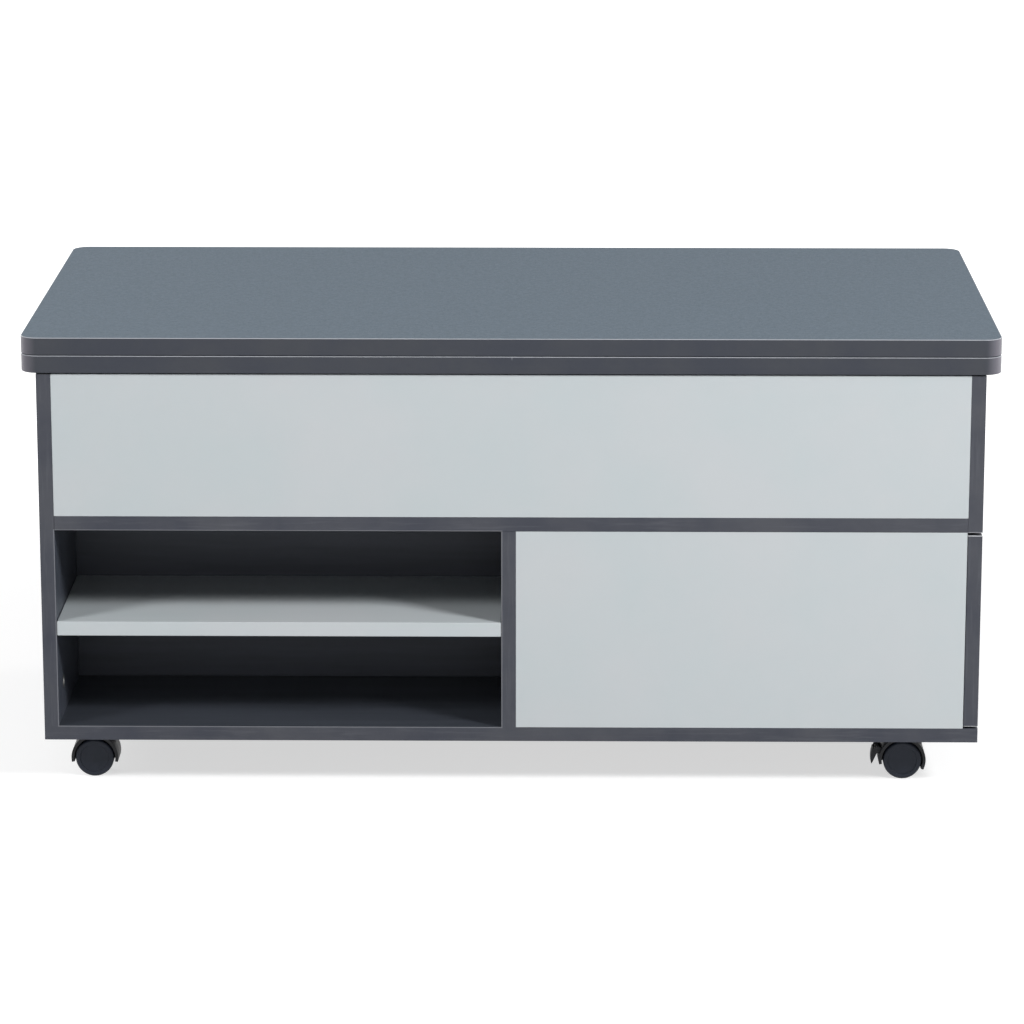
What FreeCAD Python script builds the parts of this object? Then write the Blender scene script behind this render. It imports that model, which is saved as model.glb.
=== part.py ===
import FreeCAD, Part
import math
import os
import re
import Sketcher

Vector = FreeCAD.Vector
Rotation = FreeCAD.Rotation

# Driving dimensions, in millimetres and degrees
SIZES = {
    # folding top
    "top_length": 1000, "top_depth": 525, "leaf_thickness": 18, "leaf_corner": 18,
    "edging": 1, "edge_round": 0.8, "leaf_gap": 0.6, "rest_gap": 1.4,
    "side_overhang": 16, "depth_overhang": 2.5,
    # cabinet
    "board": 15, "bay_height": 209, "well_height": 149, "bay_width": 459.5,
    "shelf_depth": 192, "shelf_rise": 97, "shelf_fit": 0.5,
    "shelf_pin_radius": 2.5, "shelf_pin_out": 8, "shelf_pin_in": 9, "shelf_pin_inset": 32,
    "cam_radius": 7.5, "cam_depth": 12, "cam_rise": 34, "cam_inset": 50, "cam_slot": 1.6,
    "bumper_radius": 5, "bumper_inset": 60, "leaf_bumper_inset": 40,
    # lift linkage
    "plate": 3, "arm_thickness": 4, "arm_width": 22, "arm_length": 240, "arm_rest_angle": 6,
    "base_gap": 2.2, "layer_gap": 0.5, "head_gap": 1.5, "head_height": 1, "head_clear": 0.2,
    "head_radius": 6.5,
    "pivot_drop": 19, "link_step_back": 60, "link_step_down": 40,
    "pin_radius": 4, "run_clear": 0.05, "open_clear": 0.3, "plate_margin": 15,
    "flange_width": 31, "rail_gap_back": 11.3, "rail_gap_front": 48.7, "sync_radius": 8, "sync_reach": 120,
    "spring_wire": 3, "spring_turns": 8, "spring_gap": 0.6, "spring_leg": 24, "spring_clear": 0.3,
    # leaf hinges
    "knuckle_radius": 3, "hinge_pin_radius": 1.5, "hinge_offset": 0.5, "hinge_length": 60,
    "hinge_plate_depth": 26, "hinge_plate_thickness": 2, "hinge_inset": 120, "hinge_clear": 0.4,
    # drawer and slides
    "drawer_gap_top": 3, "drawer_gap_bottom": 2, "drawer_gap_side": 0.5, "drawer_wall": 12,
    "drawer_gap_back": 33.5, "drawer_head_room": 34, "drawer_lift": 15, "drawer_bottom_thickness": 5,
    "drawer_groove": 5, "drawer_bottom_rise": 10, "notch_radius": 18,
    "slide_height": 45, "slide_channel": 8, "slide_wall": 1.5, "slide_run": 0.3,
    "slide_set_back": 6, "slide_gap_back": 24,
    # casters
    "stem_inset_side": 61, "stem_inset_front": 51, "caster_plate": 42, "caster_plate_thickness": 2,
    "king_pin_radius": 3.5, "king_pin_length": 8, "boss_radius": 8, "boss_gap": 0.5, "hood_top_gap": 3.5,
    "caster_trail": 13.5, "wheel_radius": 20, "wheel_width": 14, "wheel_round": 2.5, "wheel_dish": 1,
    "wheel_gap": 0.5, "axle_radius": 3, "hood_gap": 1.5, "hood_wall": 3, "hood_web": 6,
    "hood_dip": 11, "brake_hood_dip": 25, "hood_step": 1, "hub_radius": 7,
    "lever_clear": 1, "lever_depth": 6.9, "lever_width": 12, "lever_start": 160, "lever_sweep": 32,
    "lever_flat": 156, "lever_out": 3, "lever_eye": 2.8, "lever_pin_radius": 1.5,
    "lug_width": 4, "lug_radius": 3.4,
    # screws
    "screw_radius": 2, "screw_length": 12, "screw_head_radius": 3.8, "screw_head": 1.8,
    "caster_screw_inset": 6, "slide_screw_inset": 40,
}

# Places worked out from the driving dimensions
LAYOUT = {
    "cab_width": "top_length - 2 * side_overhang",
    "cab_depth": "top_depth - 2 * depth_overhang",
    "hood_inner": "wheel_radius + hood_gap",
    "hood_radius": "hood_inner + hood_wall",
    "caster_height": "wheel_radius + hood_radius + hood_top_gap + caster_plate_thickness",
    "barrel_reach": "hinge_offset + knuckle_radius",
    "top_front": "-(top_depth + barrel_reach) / 2",
    "top_back": "top_front + top_depth",
    "mid_depth": "top_front + top_depth / 2",
    "cab_front": "mid_depth - cab_depth / 2",
    "cab_back": "mid_depth + cab_depth / 2",
    "face_front": "cab_front + board",
    "face_back": "cab_back - board",
    "half_width": "cab_width / 2",
    "inner_x": "half_width - board",
    "floor_top": "caster_height + board",
    "bay_top": "floor_top + bay_height",
    "well_floor": "bay_top + board",
    "cab_top": "well_floor + well_height",
    "lower_leaf_z": "cab_top + rest_gap",
    "lower_leaf_top": "lower_leaf_z + leaf_thickness",
    "upper_leaf_z": "lower_leaf_top + leaf_gap",
    "axis_y": "top_back + hinge_offset",
    "axis_z": "lower_leaf_top + leaf_gap / 2",
    "hinge_spread": "top_length / 2 - hinge_inset",
    "divider_x": "-inner_x + bay_width",
    "divider_end": "divider_x + board",
    "partition_y": "cab_front + shelf_depth",
    "partition_back": "partition_y + board",
    "shelf_z": "floor_top + shelf_rise",
    "base_x": "inner_x - plate",
    "rear_arm_x": "base_x - base_gap - arm_thickness",
    "rail_x": "rear_arm_x - head_gap - plate",
    "front_arm_x": "rail_x - layer_gap - arm_thickness",
    "flange_z": "lower_leaf_z - plate",
    "flange_back": "face_back - rail_gap_back",
    "flange_y": "face_front + rail_gap_front",
    "flange_length": "flange_back - flange_y",
    "rear_top_y": "flange_back - plate_margin",
    "front_top_y": "rear_top_y - link_step_back",
    "front_pivot_y": "front_top_y - arm_length * cos(arm_rest_angle)",
    "front_pivot_z": "cab_top - pivot_drop",
    "rear_pivot_y": "front_pivot_y + link_step_back",
    "rear_pivot_z": "front_pivot_z - link_step_down",
    "front_top_z": "front_pivot_z - arm_length * sin(arm_rest_angle)",
    "rear_top_z": "front_top_z - link_step_down",
    "sync_y": "front_pivot_y + sync_reach * cos(arm_rest_angle)",
    "sync_z": "front_pivot_z - sync_reach * sin(arm_rest_angle)",
    "spring_radius": "pin_radius + spring_clear + spring_wire / 2",
    "spring_pitch": "spring_wire + spring_gap",
    "spring_start": "front_arm_x - spring_clear - spring_wire / 2",
    "spring_length": "spring_pitch * spring_turns",
    "drawer_side_y": "face_front + slide_wall + slide_run + slide_wall + slide_run + slide_channel",
    "drawer_z": "floor_top + drawer_lift",
    "drawer_height": "bay_height - drawer_lift - drawer_head_room",
    "drawer_back_x": "divider_end + drawer_gap_back",
    "drawer_length": "inner_x - drawer_back_x",
    "slide_x": "drawer_back_x + slide_gap_back",
    "slide_length": "inner_x - slide_set_back - slide_x",
    "slide_z": "drawer_z + drawer_height / 2",
    "middle_slide_height": "slide_height - 2 * slide_wall - 2 * slide_run",
    "inner_slide_height": "middle_slide_height - 2 * slide_wall - 2 * slide_run",
    "wheel_mid": "hood_web / 2 + wheel_gap + wheel_width / 2",
    "hood_width": "hood_web + 2 * (wheel_gap + wheel_width - hood_step)",
    "lever_inner": "hood_radius + lever_clear",
    "lever_radius": "lever_inner + lever_depth",
    "lever_reach": "hood_radius + lever_out",
    "caster_screw_step": "caster_plate / 2 - caster_screw_inset",
}

doc = FreeCAD.newDocument("convertible_table")
nodes = []


def qualify(text):
    """The formula with each named value tied to the sheet that holds it."""
    def tie(match):
        word = match.group()
        if word in SIZES:
            return "Sizes." + word
        if word in LAYOUT:
            return "Layout." + word
        return word
    return re.sub(r"[a-z]\w*", tie, text)


def fill_sheet(name, rows):
    """A sheet with one aliased cell for each row."""
    sheet = doc.addObject("Spreadsheet::Sheet", name)
    for number, (alias, content) in enumerate(rows.items(), start=1):
        cell = f"A{number}"
        sheet.set(cell, content)
        sheet.setAlias(cell, alias)
    doc.recompute()
    return sheet


sizes = fill_sheet("Sizes", {alias: str(size) for alias, size in SIZES.items()})
layout = fill_sheet("Layout", {alias: "=" + qualify(text) for alias, text in LAYOUT.items()})


def value(alias):
    """A named value as a number."""
    sheet = sizes if alias in SIZES else layout
    return float(sheet.get(alias))


def node(piece):
    """Marks a finished sub-part."""
    nodes.append(piece)
    return piece


def put(piece, place):
    """Binds a piece's place to three formulas."""
    for axis, text in zip("xyz", place):
        piece.setExpression(f"Placement.Base.{axis}", qualify(text))
    return piece


def box(name, size, place):
    """A block with its low corner at the place."""
    piece = doc.addObject("Part::Box", name)
    for side, text in zip(("Length", "Width", "Height"), size):
        piece.setExpression(side, qualify(text))
    return put(piece, place)


FULL_TURN = 360
HALF_TURN = FULL_TURN / 2
QUARTER_TURN = FULL_TURN / 4
ROD_TURNS = {
    "x": Rotation(Vector(0, 1, 0), QUARTER_TURN),
    "y": Rotation(Vector(1, 0, 0), -QUARTER_TURN),
    "z": Rotation(),
}


def rod(name, radius, length, place, axis):
    """A round bar that starts at the place and runs along the axis."""
    piece = doc.addObject("Part::Cylinder", name)
    piece.setExpression("Radius", qualify(radius))
    piece.setExpression("Height", qualify(length))
    piece.Placement = FreeCAD.Placement(Vector(), ROD_TURNS[axis])
    return put(piece, place)


def sector(name, radius, width, centre, start, sweep):
    """A slice of a disc across Y, from a start angle above +X."""
    piece = doc.addObject("Part::Cylinder", name)
    piece.setExpression("Radius", qualify(radius))
    piece.setExpression("Height", qualify(width))
    piece.Angle = sweep
    turn = Rotation(Vector(0, 1, 0), -start).multiply(Rotation(Vector(1, 0, 0), QUARTER_TURN))
    piece.Placement = FreeCAD.Placement(Vector(), turn)
    x, y, z = centre
    return put(piece, (x, f"{y} + ({width}) / 2", z))


def disc(name, radius, width, centre):
    """A whole disc across Y."""
    return sector(name, radius, width, centre, 0, FULL_TURN)


def group(name, pieces):
    """Separate solids under one name."""
    piece = doc.addObject("Part::Compound", name)
    piece.Links = pieces
    return piece


def fuse(name, pieces):
    """Pieces grown into one solid."""
    piece = doc.addObject("Part::MultiFuse", name)
    piece.Shapes = pieces
    return piece


def cut(name, base, tools):
    """The base with the tools' space taken out."""
    piece = doc.addObject("Part::Cut", name)
    piece.Base = base
    piece.Tool = tools[0] if len(tools) == 1 else group(name + "_space", tools)
    return piece


def mirror(name, source, axis, place="0"):
    """The source reflected in a plane across the axis."""
    piece = doc.addObject("Part::Mirroring", name)
    piece.Source = source
    piece.Normal = Vector(*[float(axis == other) for other in "xyz"])
    piece.setExpression(f"Base.{axis}", qualify(place))
    return piece


def new_sketch(body, name, role):
    """A sketch on one of the body's own planes."""
    sketch = body.newObject("Sketcher::SketchObject", name)
    plane = [feature for feature in body.Origin.OriginFeatures if feature.Role == role][0]
    sketch.AttachmentSupport = [(plane, "")]
    sketch.MapMode = "FlatFace"
    return sketch


def draw_outline(sketch, points):
    """A closed outline of straight runs, each corner held by two bound distances."""
    count = len(points)
    turn = 2 * math.pi / count
    start_radius = 100
    corners = [Vector(start_radius * math.cos(i * turn), start_radius * math.sin(i * turn), 0)
               for i in range(count)]
    first = sketch.GeometryCount
    for i in range(count):
        sketch.addGeometry(Part.LineSegment(corners[i], corners[(i + 1) % count]))
    for i in range(count):
        sketch.addConstraint(Sketcher.Constraint("Coincident", first + i, 2, first + (i + 1) % count, 1))
    for i, pair in enumerate(points):
        for kind, text, start in zip(("DistanceX", "DistanceY"), pair, (corners[i].x, corners[i].y)):
            index = sketch.addConstraint(Sketcher.Constraint(kind, -1, 1, first + i, 1, start))
            sketch.setExpression(f"Constraints[{index}]", qualify(text))


def pad(body, name, sketch, length, both_ways=False):
    """The sketch drawn out into a solid."""
    feature = body.newObject("PartDesign::Pad", name)
    feature.Profile = sketch
    feature.setExpression("Length", qualify(length))
    feature.Midplane = both_ways
    return feature


def fillet(body, name, base, wanted, radius):
    """Rounds the edges of the base that the test picks."""
    doc.recompute()
    feature = body.newObject("PartDesign::Fillet", name)
    picked = [f"Edge{i}" for i, edge in enumerate(base.Shape.Edges, start=1) if wanted(edge)]
    feature.Base = (base, picked)
    feature.setExpression("Radius", qualify(radius))
    return feature


def is_upright(edge):
    """True for an edge that runs mainly upward."""
    reach = edge.BoundBox
    return reach.ZLength > max(reach.XLength, reach.YLength)


def is_level(edge):
    """True for an edge that stays at one height."""
    reach = edge.BoundBox
    return reach.ZLength < min(max(reach.XLength, reach.YLength), value("edge_round"))


def slab(name, length, depth, thickness, corner, arris, place):
    """A flat board with rounded plan corners, and rounded arrises where an arris radius is given."""
    body = doc.addObject("PartDesign::Body", name)
    sketch = new_sketch(body, name + "_outline", "XY_Plane")
    ends = [(f"{sx} * ({length}) / 2", f"{sy} * ({depth}) / 2")
            for sx, sy in ((-1, -1), (1, -1), (1, 1), (-1, 1))]
    draw_outline(sketch, ends)
    solid = pad(body, name + "_pad", sketch, thickness)
    solid = fillet(body, name + "_corners", solid, is_upright, corner)
    if arris:
        fillet(body, name + "_arrises", solid, is_level, arris)
    return put(body, place)


def screw(name, place, axis, way):
    """A screw whose head sits under the place and whose shank goes on along the axis, way 1 or -1."""
    def along(text):
        spots = list(place)
        spots["xyz".index(axis)] = f"{spots['xyz'.index(axis)]} + ({text})"
        return spots
    head_from = "-screw_head" if way > 0 else "0"
    shank_from = "0" if way > 0 else "-screw_length"
    head = rod(name + "_head", "screw_head_radius", "screw_head", along(head_from), axis)
    shank = rod(name + "_shank", "screw_radius", "screw_length", along(shank_from), axis)
    return fuse(name, [head, shank])


SIGNS = {"left": -1, "right": 1}
ENDS = {"front": -1, "back": 1}


def stem_place(end, side):
    """Where a caster's king pin stands."""
    x = f"{SIGNS[side]} * (half_width - stem_inset_side)"
    y = f"mid_depth + {ENDS[end]} * (cab_depth / 2 - stem_inset_front)"
    return x, y


CORNERS = [(end, side) for end in ENDS for side in SIGNS]
WHEEL_SIDES = {"near": -1, "far": 1}


def caster_screws():
    """Four screws through each caster plate, up into the bottom board."""
    made = []
    for end, side in CORNERS:
        x, y = stem_place(end, side)
        for sx in (-1, 1):
            for sy in (-1, 1):
                place = (f"{x} + {sx} * caster_screw_step", f"{y} + {sy} * caster_screw_step",
                         "caster_height - caster_plate_thickness")
                made.append(screw(f"{end}_{side}_caster_screw_{len(made)}", place, "z", 1))
    return made


def lift_base_screws():
    """Four screws through each lift base into the side panel."""
    made = []
    for side, sign in SIGNS.items():
        for y in ("front_pivot_y - plate_margin + 2 * screw_head_radius - screw_radius",
                  "rear_pivot_y + plate_margin - 2 * screw_head_radius + screw_radius"):
            for z in ("rear_pivot_z - plate_margin + screw_head_radius + screw_radius",
                      "front_pivot_z + plate_margin - screw_head_radius - screw_radius"):
                place = (f"{sign} * base_x", y, z)
                made.append(screw(f"{side}_base_screw_{len(made)}", place, "x", sign))
    return made


def slide_screws():
    """Two flush screws through each outer rail into its panel."""
    made = []
    for end, way in ENDS.items():
        head_y = "face_front" if way < 0 else "face_back - slide_wall"
        shank_y = "face_front - screw_length" if way < 0 else "face_back"
        for x in ("slide_x + slide_screw_inset", "slide_x + slide_length - slide_screw_inset"):
            name = f"{end}_slide_screw_{len(made)}"
            head = rod(name + "_head", "screw_head_radius", "slide_wall", (x, head_y, "slide_z"), "y")
            shank = rod(name + "_shank", "screw_radius", "screw_length", (x, shank_y, "slide_z"), "y")
            made.append(fuse(name, [head, shank]))
    return made


def cam_fittings():
    """Round cam fittings set in the faces of the uprights, with a driver slot, and the discs they fill."""
    fittings = []
    discs = []
    spots = [("-inner_x - cam_depth", "-inner_x - cam_slot"), ("divider_x", "divider_x")]
    for start, slot_x in spots:
        for end, way in ENDS.items():
            y = f"mid_depth + {way} * (cab_depth / 2 - cam_inset)"
            z = "floor_top + cam_rise"
            name = f"cam_{len(discs)}"
            round_piece = rod(name + "_disc", "cam_radius", "cam_depth", (start, y, z), "x")
            slot = box(name + "_slot", ("cam_slot", "cam_radius", "cam_slot"),
                       (slot_x, f"{y} - cam_radius / 2", f"{z} - cam_slot / 2"))
            fittings.append(cut(name, round_piece, [slot]))
            discs.append(round_piece)
    return fittings, discs


def shelf_pins():
    """Pins in the bay walls that carry both shelves."""
    made = []
    spots_y = ("cab_front + shelf_pin_inset", "partition_y - shelf_pin_inset",
               "partition_back + shelf_pin_inset", "cab_back - shelf_pin_inset")
    for y in spots_y:
        for x in ("-inner_x - shelf_pin_in", "divider_x - shelf_pin_out"):
            made.append(rod(f"shelf_pin_{len(made)}", "shelf_pin_radius", "shelf_pin_in + shelf_pin_out",
                            (x, y, "shelf_z - shelf_pin_radius"), "x"))
    return made


def lift_pins():
    """Long front and short rear pivot pins of both lift bases."""
    front = rod("front_base_pin", "pin_radius", "inner_x - spring_start + spring_length + spring_wire",
                ("spring_start - spring_length - spring_wire", "front_pivot_y", "front_pivot_z"), "x")
    shank = rod("rear_base_shank", "pin_radius", "inner_x - rear_arm_x + head_clear",
                ("rear_arm_x - head_clear", "rear_pivot_y", "rear_pivot_z"), "x")
    head = rod("rear_base_head", "head_radius", "head_height",
               ("rear_arm_x - head_clear - head_height", "rear_pivot_y", "rear_pivot_z"), "x")
    rear = fuse("rear_base_pin", [shank, head])
    return [front, rear, mirror("front_base_pin_left", front, "x"), mirror("rear_base_pin_left", rear, "x")]


def top_bumpers():
    """Pads on the side panels that the closed top rests on."""
    made = []
    for end, side in CORNERS:
        place = (f"{SIGNS[side]} * (half_width - board / 2)",
                 f"mid_depth + {ENDS[end]} * (cab_depth / 2 - bumper_inset)", "cab_top")
        made.append(rod(f"{end}_{side}_bumper", "bumper_radius", "rest_gap", place, "z"))
    return made


def caster_plates():
    """Square plates under the bottom board, each with its riveted king pin."""
    made = []
    for end, side in CORNERS:
        x, y = stem_place(end, side)
        plate = box(f"{end}_{side}_plate_flat", ("caster_plate", "caster_plate", "caster_plate_thickness"),
                    (f"{x} - caster_plate / 2", f"{y} - caster_plate / 2",
                     "caster_height - caster_plate_thickness"))
        pin = rod(f"{end}_{side}_king_pin", "king_pin_radius", "king_pin_length",
                  (x, y, "caster_height - caster_plate_thickness - king_pin_length"), "z")
        made.append(fuse(f"{end}_{side}_plate", [plate, pin]))
    return made


def slide_channel(name, height, y_low, depth, web_at_low, holes=()):
    """A rail bent to a channel: web at one side, a lip above and below."""
    bar = box(name + "_bar", ("slide_length", depth, height), ("slide_x", y_low, f"slide_z - ({height}) / 2"))
    hollow_y = f"{y_low} + slide_wall" if web_at_low else y_low
    hollow = box(name + "_hollow", ("slide_length", f"{depth} - slide_wall", f"{height} - 2 * slide_wall"),
                 ("slide_x", hollow_y, f"slide_z - ({height}) / 2 + slide_wall"))
    return cut(name, bar, [hollow, *holes])


def lift_base():
    """The right base plate on the side panel, before its holes are cut."""
    return box("right_base_flat",
               ("plate", "link_step_back + 2 * plate_margin", "link_step_down + 2 * plate_margin"),
               ("base_x", "front_pivot_y - plate_margin", "rear_pivot_z - plate_margin"))


def build_cabinet():
    """The fixed carcass with its fittings."""
    wood_screws = caster_screws() + lift_base_screws() + slide_screws()
    screws = node(group("cabinet_screws", wood_screws))
    fittings, cam_spaces = cam_fittings()
    node(group("cam_fittings", fittings))
    pins = node(group("shelf_pins", shelf_pins()))
    base_pins = node(group("lift_base_pins", lift_pins()))
    node(group("top_bumpers", top_bumpers()))
    plates = group("caster_plates_blank", caster_plates())
    node(cut("caster_plates", plates, [screws]))

    depth = "cab_depth"
    board = box("bottom_flat", ("cab_width", depth, "board"), ("-half_width", "cab_front", "caster_height"))
    node(cut("bottom_board", board, [screws]))
    left = box("left_flat", ("board", depth, "cab_top - floor_top"),
               ("-half_width", "cab_front", "floor_top"))
    node(cut("left_side_panel", left, [screws, pins, *cam_spaces]))
    right = box("right_flat", ("board", depth, "cab_top - bay_top"), ("inner_x", "cab_front", "bay_top"))
    node(cut("right_side_panel", right, [screws]))
    node(box("middle_board", ("2 * inner_x", depth, "board"), ("-inner_x", "cab_front", "bay_top")))
    divider = box("divider_flat", ("board", depth, "bay_height"), ("divider_x", "cab_front", "floor_top"))
    node(cut("divider_panel", divider, [pins, *cam_spaces]))

    for end, y in (("front", "cab_front"), ("back", "face_back")):
        node(box(f"upper_{end}_panel", ("2 * inner_x", "board", "well_height"),
                 ("-inner_x", y, "well_floor")))
        flat = box(f"lower_{end}_flat", ("inner_x - drawer_gap_side - divider_end", "board", "bay_height"),
                   ("divider_end", y, "floor_top"))
        node(cut(f"lower_{end}_panel", flat, [screws]))
    node(box("bay_partition", ("bay_width", "board", "bay_height"), ("-inner_x", "partition_y", "floor_top")))
    node(box("front_shelf", ("bay_width - 2 * shelf_fit", "shelf_depth - shelf_fit", "board"),
             ("-inner_x + shelf_fit", "cab_front", "shelf_z")))
    node(box("rear_shelf", ("bay_width - 2 * shelf_fit", "cab_back - partition_back - shelf_fit", "board"),
             ("-inner_x + shelf_fit", "partition_back + shelf_fit", "shelf_z")))

    rail = slide_channel("front_slide_rail", "slide_height", "face_front", "slide_channel", True, [screws])
    node(rail)
    node(mirror("rear_slide_rail", rail, "y", "mid_depth"))
    base = node(cut("right_lift_base", lift_base(), [base_pins, screws]))
    node(mirror("left_lift_base", base, "x"))


def arm(name, x, pivot_y, pivot_z, top_clear):
    """A flat bar with a round eye and a bore at each end, lying at its rest angle."""
    bar = box(name + "_bar", ("arm_thickness", "arm_length", "arm_width"), ("0", "0", "-arm_width / 2"))
    heel = rod(name + "_heel", "arm_width / 2", "arm_thickness", ("0", "0", "0"), "x")
    toe = rod(name + "_toe", "arm_width / 2", "arm_thickness", ("0", "arm_length", "0"), "x")
    heel_bore = rod(name + "_heel_bore", "pin_radius + run_clear", "arm_thickness", ("0", "0", "0"), "x")
    toe_bore = rod(name + "_toe_bore", f"pin_radius + {top_clear}", "arm_thickness",
                   ("0", "arm_length", "0"), "x")
    piece = cut(name, fuse(name + "_blank", [bar, heel, toe]), [heel_bore, toe_bore])
    piece.Placement = FreeCAD.Placement(Vector(), Rotation(Vector(1, 0, 0), -value("arm_rest_angle")))
    return put(piece, (x, pivot_y, pivot_z))


ARCS_PER_TURN = 4
POINTS_PER_ARC = 8


def spring_path():
    """Helix of quarter-turn arcs about the front pin, with a straight leg along the arm."""
    radius = value("spring_radius")
    pitch = value("spring_pitch")
    start = Vector(value("spring_start"), value("front_pivot_y"), value("front_pivot_z"))
    top_angle = math.pi / 2

    def spot(turns):
        angle = top_angle + 2 * math.pi * turns
        return start + Vector(-pitch * turns, radius * math.cos(angle), radius * math.sin(angle))

    def arc_spot(arcs):
        return spot(arcs / ARCS_PER_TURN)

    count = round(ARCS_PER_TURN * value("spring_turns"))
    first = arc_spot(0)
    last = arc_spot(count)
    leg = Vector(0, value("spring_leg"), 0)
    tail = Vector(0, -value("spring_wire"), 0)
    edges = [Part.LineSegment(first + leg, first).toShape()]
    for i in range(count):
        edges.append(Part.Arc(arc_spot(i), arc_spot(i + 1 / 2), arc_spot(i + 1)).toShape())
    edges.append(Part.LineSegment(last, last + tail).toShape())
    return edges


def least_turn_gap(edges, wire_size):
    """Least free space between neighbouring turns, measured on points along the path."""
    points = [point for edge in edges[1:-1] for point in edge.discretize(POINTS_PER_ARC + 1)[:-1]]
    half_turn = ARCS_PER_TURN * POINTS_PER_ARC // 2
    spans = [(a - b).Length for i, a in enumerate(points) for b in points[i + half_turn:]]
    return min(spans) - wire_size


def lift_springs():
    """A torsion spring round each front base pin, one unbroken wire."""
    edges = spring_path()
    wire_size = value("spring_wire")
    ring = Part.Wire(Part.makeCircle(wire_size / 2, edges[0].Vertexes[0].Point, Vector(0, 1, 0)))
    coil = Part.Wire(edges).makePipeShell([ring], True, False)
    spring = doc.addObject("Part::Feature", "right_spring")
    spring.Shape = coil
    path_length = sum(edge.Length for edge in edges)
    section = math.pi * wire_size ** 2 / 4
    print("spring gap to itself", round(least_turn_gap(edges, wire_size), 3))
    print("spring volume over section times length", round(coil.Volume / section / path_length, 4))
    return [spring, mirror("left_spring", spring, "x")]


def build_arms():
    """Front and rear arms of both sides, the bar that ties the front pair, and the springs."""
    front = node(arm("right_front_arm", "front_arm_x", "front_pivot_y", "front_pivot_z", "run_clear"))
    rear = node(arm("right_rear_arm", "rear_arm_x", "rear_pivot_y", "rear_pivot_z", "open_clear"))
    node(mirror("left_front_arm", front, "x"))
    node(mirror("left_rear_arm", rear, "x"))
    node(rod("sync_bar", "sync_radius", "2 * front_arm_x", ("-front_arm_x", "sync_y", "sync_z"), "x"))
    node(group("lift_springs", lift_springs()))


HINGE_PLACES = {"left": "-hinge_spread", "middle": "0", "right": "hinge_spread"}


def hinge_plate(name, x, z_low, knuckle_spans):
    """A flush plate with its share of the knuckles on the fold axis, bored for the pin."""
    low_x = f"{x} - hinge_length / 2"
    flat = box(name + "_flat", ("hinge_length", "hinge_plate_depth + hinge_offset", "hinge_plate_thickness"),
               (low_x, "axis_y - hinge_offset - hinge_plate_depth", z_low))
    gap = rod(name + "_gap", "knuckle_radius + hinge_clear", "hinge_length", (low_x, "axis_y", "axis_z"), "x")
    pieces = [cut(name + "_leaf", flat, [gap])]
    for i, (low, high) in enumerate(knuckle_spans):
        span = f"hinge_length * ({high} - {low}) - hinge_clear"
        start = f"{low_x} + hinge_length * {low} + hinge_clear / 2"
        pieces.append(rod(f"{name}_knuckle_{i}", "knuckle_radius", span, (start, "axis_y", "axis_z"), "x"))
        inset = "knuckle_radius + hinge_clear + hinge_plate_thickness"
        pieces.append(box(f"{name}_neck_{i}", (span, inset, "hinge_plate_thickness"),
                          (start, f"axis_y - ({inset})", z_low)))
    bore = rod(name + "_bore", "hinge_pin_radius", "hinge_length", (low_x, "axis_y", "axis_z"), "x")
    return cut(name, fuse(name + "_blank", pieces), [bore])


OUTER_KNUCKLES = ((0, "1 / 3"), ("2 / 3", 1))
INNER_KNUCKLE = (("1 / 3", "2 / 3"),)


def hinge_spaces(leaf, z_low):
    """Recesses for the plates and round notches for the knuckles of all hinges."""
    made = []
    for place, x in HINGE_PLACES.items():
        start = f"{x} - hinge_length / 2"
        made.append(box(f"{leaf}_{place}_recess",
                        ("hinge_length", "hinge_plate_depth + hinge_offset", "hinge_plate_thickness"),
                        (start, "axis_y - hinge_offset - hinge_plate_depth", z_low)))
        made.append(rod(f"{leaf}_{place}_notch", "knuckle_radius + hinge_clear", "hinge_length",
                        (start, "axis_y", "axis_z"), "x"))
    return made


def leaf(name, z, spaces):
    """One leaf: the board, and the band round its edge with rounded arrises."""
    place = ("0", "mid_depth", z)
    core = slab(name + "_core", "top_length - 2 * edging", "top_depth - 2 * edging", "leaf_thickness",
                "leaf_corner - edging", None, place)
    outer = slab(name + "_outer", "top_length", "top_depth", "leaf_thickness",
                 "leaf_corner", "edge_round", place)
    return cut(name, core, spaces), cut(name + "_edging", outer, [core, *spaces])


RAIL_SCREWS = 4


def top_rail_screws():
    """Screws through the top rails' flanges, up into the lower leaf."""
    made = []
    for side, sign in SIGNS.items():
        for i in range(RAIL_SCREWS):
            x = f"{sign} * (rail_x - flange_width / 2)"
            y = f"flange_y + flange_length * ({i} + 1 / 2) / {RAIL_SCREWS}"
            made.append(screw(f"{side}_rail_screw_{i}", (x, y, "flange_z"), "z", 1))
    return made


def top_pins():
    """Pivot pins of the right top rail: a headed one for the front arm, a plain one for the rear arm."""
    shank = rod("front_top_shank", "pin_radius", "rail_x + plate - front_arm_x + head_clear",
                ("front_arm_x - head_clear", "front_top_y", "front_top_z"), "x")
    head = rod("front_top_head", "head_radius", "head_height",
               ("front_arm_x - head_clear - head_height", "front_top_y", "front_top_z"), "x")
    front = fuse("front_top_pin", [shank, head])
    rear = rod("rear_top_pin", "pin_radius", "rear_arm_x + arm_thickness - rail_x",
               ("rail_x", "rear_top_y", "rear_top_z"), "x")
    return [front, rear, mirror("front_top_pin_left", front, "x"), mirror("rear_top_pin_left", rear, "x")]


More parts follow.
